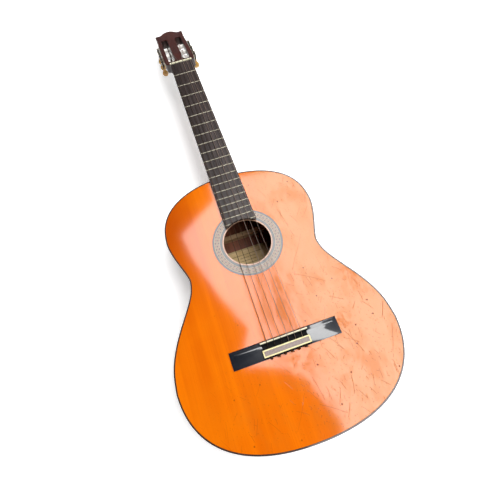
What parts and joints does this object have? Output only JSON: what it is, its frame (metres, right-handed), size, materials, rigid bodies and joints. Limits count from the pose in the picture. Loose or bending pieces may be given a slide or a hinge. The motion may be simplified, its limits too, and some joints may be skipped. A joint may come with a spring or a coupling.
{
  "type": "classical guitar",
  "caption": "Nylon-string classical guitar with a slotted head and geared tuning machines, lying on its back.",
  "frame": {"origin": "on the outer face of the back, on the centre line, under the middle of the body", "axes": "+X to the treble side, +Y from the tail to the head, +Z out of the soundboard"},
  "size_m": [0.3762, 1.0009, 0.1098],
  "materials": {
    "top_lacquer": "gloss lacquer",
    "mosaic": "gloss lacquer",
    "mahogany": "gloss lacquer",
    "binding": "gloss",
    "raw_spruce": "bare wood",
    "label_paper": "matte paper",
    "head_veneer": "gloss lacquer",
    "rosewood": "satin",
    "bone": "satin",
    "ebonised": "gloss",
    "plated_metal": "aged plating",
    "dark_metal": "dark satin",
    "white_plastic": "satin",
    "amber_plastic": "pearl gloss",
    "wound_string": "satin",
    "nylon_string": "gloss"
  },
  "bodies": {
    "guitar": {"back_binding": "binding", "back_brace_1": "raw_spruce", "back_brace_2": "raw_spruce", "back_brace_3": "raw_spruce", "back_lining": "raw_spruce", "back_plate": "mahogany", "bridge": "ebonised", "fan_brace_1": "raw_spruce", "fan_brace_2": "raw_spruce", "fan_brace_3": "raw_spruce", "fingerboard": "rosewood", "harmonic_bar_lower": "raw_spruce", "harmonic_bar_upper": "raw_spruce", "head_veneer": "head_veneer", "headstock": "mahogany", "label": "label_paper", "neck": "mahogany", "neck_block": "mahogany", "nut": "bone", "rib_bass": "mahogany", "rib_treble": "mahogany", "rosette": "mosaic", "saddle": "bone", "soundboard": "top_lacquer", "string_1": "nylon_string", "string_2": "nylon_string", "string_3": "nylon_string", "string_4": "wound_string", "string_5": "wound_string", "string_6": "wound_string", "tail_block": "mahogany", "tie_block_inlay": "bone", "top_binding": "binding", "top_lining": "raw_spruce", "tuner_plate_bass": "plated_metal", "tuner_plate_treble": "plated_metal"},
    "peg_1": {"worm_shaft_1": "dark_metal", "button_1": "amber_plastic"},
    "spool_1": {"roller_1": "white_plastic", "roller_gear_1": "dark_metal"},
    "peg_2": {"worm_shaft_2": "dark_metal", "button_2": "amber_plastic"},
    "spool_2": {"roller_2": "white_plastic", "roller_gear_2": "dark_metal"},
    "peg_3": {"worm_shaft_3": "dark_metal", "button_3": "amber_plastic"},
    "spool_3": {"roller_3": "white_plastic", "roller_gear_3": "dark_metal"},
    "peg_4": {"worm_shaft_4": "dark_metal", "button_4": "amber_plastic"},
    "spool_4": {"roller_4": "white_plastic", "roller_gear_4": "dark_metal"},
    "peg_5": {"worm_shaft_5": "dark_metal", "button_5": "amber_plastic"},
    "spool_5": {"roller_5": "white_plastic", "roller_gear_5": "dark_metal"},
    "peg_6": {"worm_shaft_6": "dark_metal", "button_6": "amber_plastic"},
    "spool_6": {"roller_6": "white_plastic", "roller_gear_6": "dark_metal"}
  },
  "joints": [
    {"name": "peg_1_turn", "type": "hinge", "parent": "guitar", "child": "peg_1", "pos_m": [0.0404, 0.61804, 0.07638], "axis": [0, 0.2588, 0.9659], "continuous": true},
    {"name": "spool_1_turn", "type": "hinge", "parent": "guitar", "child": "spool_1", "pos_m": [0.0178, 0.60915, 0.07876], "axis": [1, 0, 0], "continuous": true},
    {"name": "peg_2_turn", "type": "hinge", "parent": "guitar", "child": "peg_2", "pos_m": [0.0404, 0.65088, 0.06758], "axis": [0, 0.2588, 0.9659], "continuous": true},
    {"name": "spool_2_turn", "type": "hinge", "parent": "guitar", "child": "spool_2", "pos_m": [0.0178, 0.64199, 0.06996], "axis": [1, 0, 0], "continuous": true},
    {"name": "peg_3_turn", "type": "hinge", "parent": "guitar", "child": "peg_3", "pos_m": [0.0404, 0.68372, 0.05878], "axis": [0, 0.2588, 0.9659], "continuous": true},
    {"name": "spool_3_turn", "type": "hinge", "parent": "guitar", "child": "spool_3", "pos_m": [0.0178, 0.67483, 0.06116], "axis": [1, 0, 0], "continuous": true},
    {"name": "peg_4_turn", "type": "hinge", "parent": "guitar", "child": "peg_4", "pos_m": [-0.0404, 0.68372, 0.05878], "axis": [0, 0.2588, 0.9659], "continuous": true},
    {"name": "spool_4_turn", "type": "hinge", "parent": "guitar", "child": "spool_4", "pos_m": [-0.0178, 0.67483, 0.06116], "axis": [1, 0, 0], "continuous": true},
    {"name": "peg_5_turn", "type": "hinge", "parent": "guitar", "child": "peg_5", "pos_m": [-0.0404, 0.65088, 0.06758], "axis": [0, 0.2588, 0.9659], "continuous": true},
    {"name": "spool_5_turn", "type": "hinge", "parent": "guitar", "child": "spool_5", "pos_m": [-0.0178, 0.64199, 0.06996], "axis": [1, 0, 0], "continuous": true},
    {"name": "peg_6_turn", "type": "hinge", "parent": "guitar", "child": "peg_6", "pos_m": [-0.0404, 0.61804, 0.07638], "axis": [0, 0.2588, 0.9659], "continuous": true},
    {"name": "spool_6_turn", "type": "hinge", "parent": "guitar", "child": "spool_6", "pos_m": [-0.0178, 0.60915, 0.07876], "axis": [1, 0, 0], "continuous": true}
  ],
  "couplings": [
    {"joint": "spool_1_turn", "follows": "peg_1_turn", "ratio": -0.071429},
    {"joint": "spool_2_turn", "follows": "peg_2_turn", "ratio": -0.071429},
    {"joint": "spool_3_turn", "follows": "peg_3_turn", "ratio": -0.071429},
    {"joint": "spool_4_turn", "follows": "peg_4_turn", "ratio": 0.071429},
    {"joint": "spool_5_turn", "follows": "peg_5_turn", "ratio": 0.071429},
    {"joint": "spool_6_turn", "follows": "peg_6_turn", "ratio": 0.071429}
  ]
}
